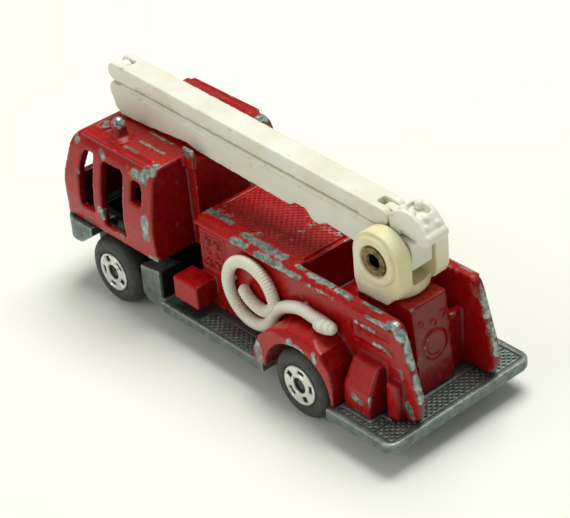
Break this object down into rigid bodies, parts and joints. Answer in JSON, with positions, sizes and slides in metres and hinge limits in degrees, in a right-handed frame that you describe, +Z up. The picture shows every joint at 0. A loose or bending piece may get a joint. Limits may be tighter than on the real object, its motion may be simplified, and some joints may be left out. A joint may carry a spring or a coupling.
{
  "type": "toy fire engine",
  "caption": "Small die-cast toy fire engine with an open-decked red body, a bare metal chassis, free-running wheels and a folding white snorkel boom on a turntable.",
  "frame": {"origin": "on the ground, under the middle of the vehicle's length and width", "axes": "+X forward, +Y to the vehicle's left, +Z up"},
  "size_m": [0.074, 0.028, 0.036],
  "materials": {
    "red_paint": "gloss enamel on cast zinc, chipped to the metal at the edges",
    "bare_zinc": "bare tumbled zinc casting, dull grey",
    "black_plastic": "satin black moulding with a hot-foiled silver hub",
    "steel_pin": "plain steel wire",
    "white_plastic": "off-white moulding, slightly yellowed",
    "cream_plastic": "yellowed cream moulding",
    "brass_eyelet": "tarnished brass tube with rolled ends"
  },
  "bodies": {
    "body": {"body_shell": "red_paint", "chassis_base": "bare_zinc", "hose_left": "white_plastic", "front_axle": "steel_pin", "rear_axle": "steel_pin"},
    "wheel_fl": {"wheel_front_left": "black_plastic"},
    "wheel_fr": {"wheel_front_right": "black_plastic"},
    "wheel_rl": {"wheel_rear_left": "black_plastic"},
    "wheel_rr": {"wheel_rear_right": "black_plastic"},
    "turntable": {"turntable_bracket": "cream_plastic", "turntable_rivet": "steel_pin", "boom_eyelet": "brass_eyelet"},
    "lower_arm": {"lower_boom": "white_plastic", "knuckle_pin": "steel_pin"},
    "upper_arm": {"upper_boom": "white_plastic", "basket_pin": "steel_pin"},
    "basket_body": {"basket": "white_plastic"}
  },
  "joints": [
    {"name": "wheel_front_left_spin", "type": "hinge", "parent": "body", "child": "wheel_fl", "pos_m": [0.0243, 0.0113, 0.0056], "axis": [0, 1, 0], "continuous": true},
    {"name": "wheel_front_right_spin", "type": "hinge", "parent": "body", "child": "wheel_fr", "pos_m": [0.0243, -0.0113, 0.0056], "axis": [0, 1, 0], "continuous": true},
    {"name": "wheel_rear_left_spin", "type": "hinge", "parent": "body", "child": "wheel_rl", "pos_m": [-0.018, 0.0113, 0.0056], "axis": [0, 1, 0], "continuous": true},
    {"name": "wheel_rear_right_spin", "type": "hinge", "parent": "body", "child": "wheel_rr", "pos_m": [-0.018, -0.0113, 0.0056], "axis": [0, 1, 0], "continuous": true},
    {"name": "turntable_swivel", "type": "hinge", "parent": "body", "child": "turntable", "pos_m": [-0.0243, 0, 0.0196], "axis": [0, 0, 1], "range_deg": [-345, 2]},
    {"name": "boom_lift", "type": "hinge", "parent": "turntable", "child": "lower_arm", "pos_m": [-0.026, -0.00007, 0.0262], "axis": [0.0401, -0.9992, 0], "range_deg": [0, 75]},
    {"name": "boom_unfold", "type": "hinge", "parent": "lower_arm", "child": "upper_arm", "pos_m": [0.02972, 0.00217, 0.03456], "axis": [-0.0401, 0.9992, 0], "range_deg": [0, 165]},
    {"name": "basket_tilt", "type": "hinge", "parent": "upper_arm", "child": "basket_body", "pos_m": [-0.02431, 0, 0.03092], "axis": [-0.0401, 0.9992, 0], "range_deg": [0, 60]}
  ]
}
